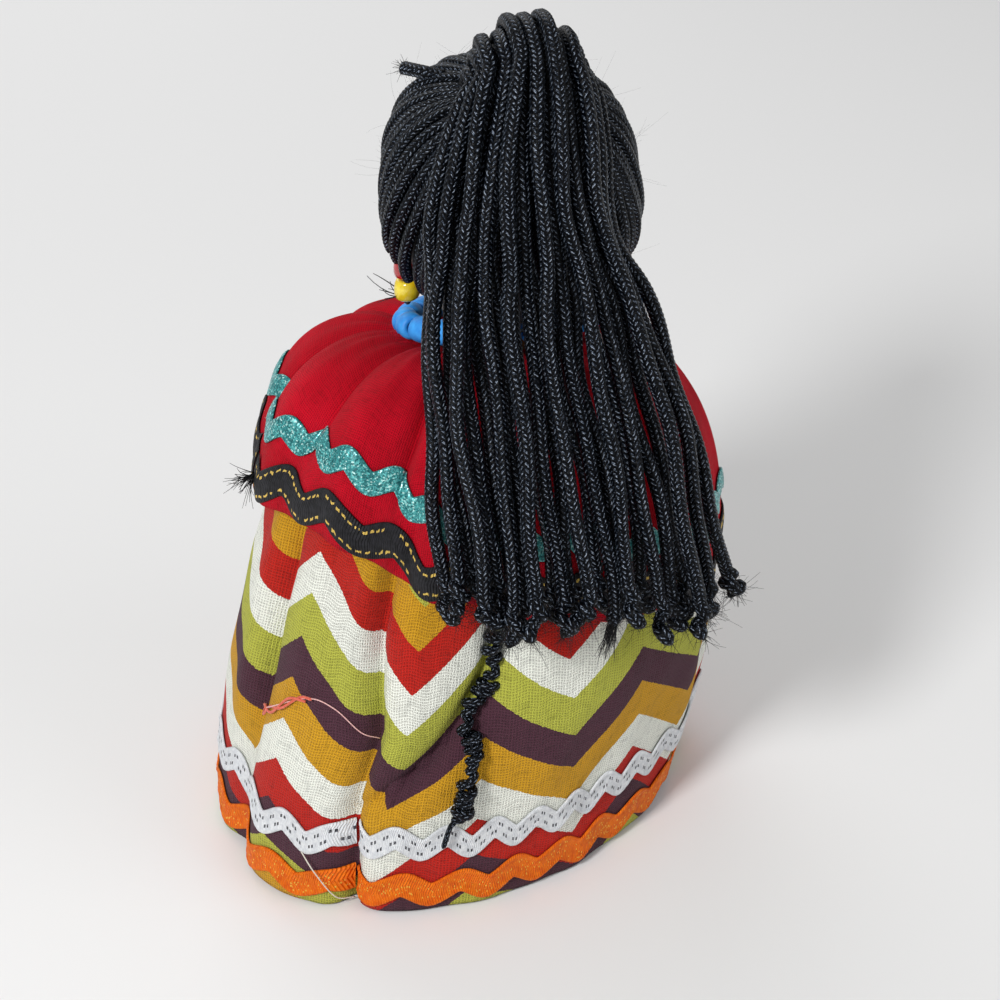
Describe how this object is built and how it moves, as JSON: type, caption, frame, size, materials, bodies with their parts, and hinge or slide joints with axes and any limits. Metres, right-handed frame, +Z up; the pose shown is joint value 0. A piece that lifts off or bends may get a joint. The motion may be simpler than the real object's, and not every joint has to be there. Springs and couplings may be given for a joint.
{
  "type": "coconut husk doll",
  "caption": "Stuffed coconut husk doll standing on a full chevron-print skirt, with a gathered red cape, wavy braid trims, bead jewellery and a ponytail of braided cords.",
  "frame": {"origin": "middle of the underside of the cardboard base disc, on the table", "axes": "+Z up, the doll faces -Y, and the doll's own left is +X"},
  "size_m": [0.0791, 0.0714, 0.1249],
  "materials": {
    "cardboard": "plain grey-brown board",
    "husk": "matted coconut husk fibre",
    "stuffing": "loose husk fibre",
    "binding": "waxed thread",
    "white_stitch": "embroidery cotton",
    "black_stitch": "embroidery cotton",
    "red_stitch": "embroidery cotton",
    "chevron_cotton": "plain-weave cotton printed with chevrons",
    "sewing_thread": "polyester thread",
    "red_cotton": "plain-weave cotton",
    "red_thread": "polyester thread",
    "white_rickrack": "waved braid with silver flecks",
    "orange_rickrack": "waved braid with gold thread",
    "teal_rickrack": "waved metallic braid",
    "black_rickrack": "waved braid with gold dashes",
    "hair_cord": "glossy braided cord",
    "hair_tie": "twisted thread",
    "blue_bead": "opaque matte bead",
    "black_thread": "nylon thread",
    "red_bead": "glossy opaque bead",
    "yellow_bead": "glossy opaque bead"
  },
  "bodies": {
    "doll": {"base_disc": "cardboard", "body_husk": "husk", "body_stuffing": "stuffing", "arm_left": "husk", "arm_right": "husk", "neck_binding": "binding", "head_husk": "husk", "head_stuffing": "stuffing", "eye_left": "white_stitch", "eye_right": "white_stitch", "brow_left": "black_stitch", "brow_right": "black_stitch", "mouth": "red_stitch", "skirt": "chevron_cotton", "waist_thread": "sewing_thread", "skirt_rickrack_white": "white_rickrack", "skirt_rickrack_orange": "orange_rickrack", "cape": "red_cotton", "cape_neck_thread": "red_thread", "cape_rickrack_teal": "teal_rickrack", "cape_rickrack_black": "black_rickrack", "scalp_cords": "hair_cord", "hair_tie": "hair_tie"},
    "ponytail": {"tail_cord_01": "hair_cord", "tail_cord_02": "hair_cord", "tail_cord_03": "hair_cord", "tail_cord_04": "hair_cord", "tail_cord_05": "hair_cord", "tail_cord_06": "hair_cord", "tail_cord_07": "hair_cord", "tail_cord_08": "hair_cord", "tail_cord_09": "hair_cord", "tail_cord_10": "hair_cord", "tail_cord_11": "hair_cord", "tail_cord_12": "hair_cord", "tail_cord_13": "hair_cord", "tail_cord_14": "hair_cord", "tail_cord_15": "hair_cord", "tail_cord_16": "hair_cord", "tail_cord_17": "hair_cord", "tail_cord_18": "hair_cord", "tail_cord_19": "hair_cord", "tail_cord_20": "hair_cord", "tail_cord_21": "hair_cord", "tail_cord_22": "hair_cord", "tail_cord_23": "hair_cord", "tail_cord_24": "hair_cord", "curly_cord": "hair_cord"},
    "necklace": {"necklace": "blue_bead"},
    "earring_left": {"earring_left_thread": "black_thread", "earring_left_red_bead": "red_bead", "earring_left_yellow_bead": "yellow_bead"},
    "earring_right": {"earring_right_thread": "black_thread", "earring_right_red_bead": "red_bead", "earring_right_yellow_bead": "yellow_bead"}
  },
  "joints": [
    {"name": "ponytail_lift", "type": "hinge", "parent": "doll", "child": "ponytail", "pos_m": [-0.00945, 0.00784, 0.11632], "axis": [1, 0, 0], "range_deg": [0, 55]},
    {"name": "necklace_turn", "type": "hinge", "parent": "doll", "child": "necklace", "pos_m": [-0.0077, 0, 0.0794], "axis": [0, -0.2924, 0.9563], "continuous": true},
    {"name": "earring_left_swing", "type": "hinge", "parent": "doll", "child": "earring_left", "pos_m": [0.00505, -0.001, 0.0923], "axis": [1, 0, 0], "range_deg": [-25, 15]},
    {"name": "earring_right_swing", "type": "hinge", "parent": "doll", "child": "earring_right", "pos_m": [-0.02275, -0.001, 0.0923], "axis": [1, 0, 0], "range_deg": [-25, 15]}
  ]
}
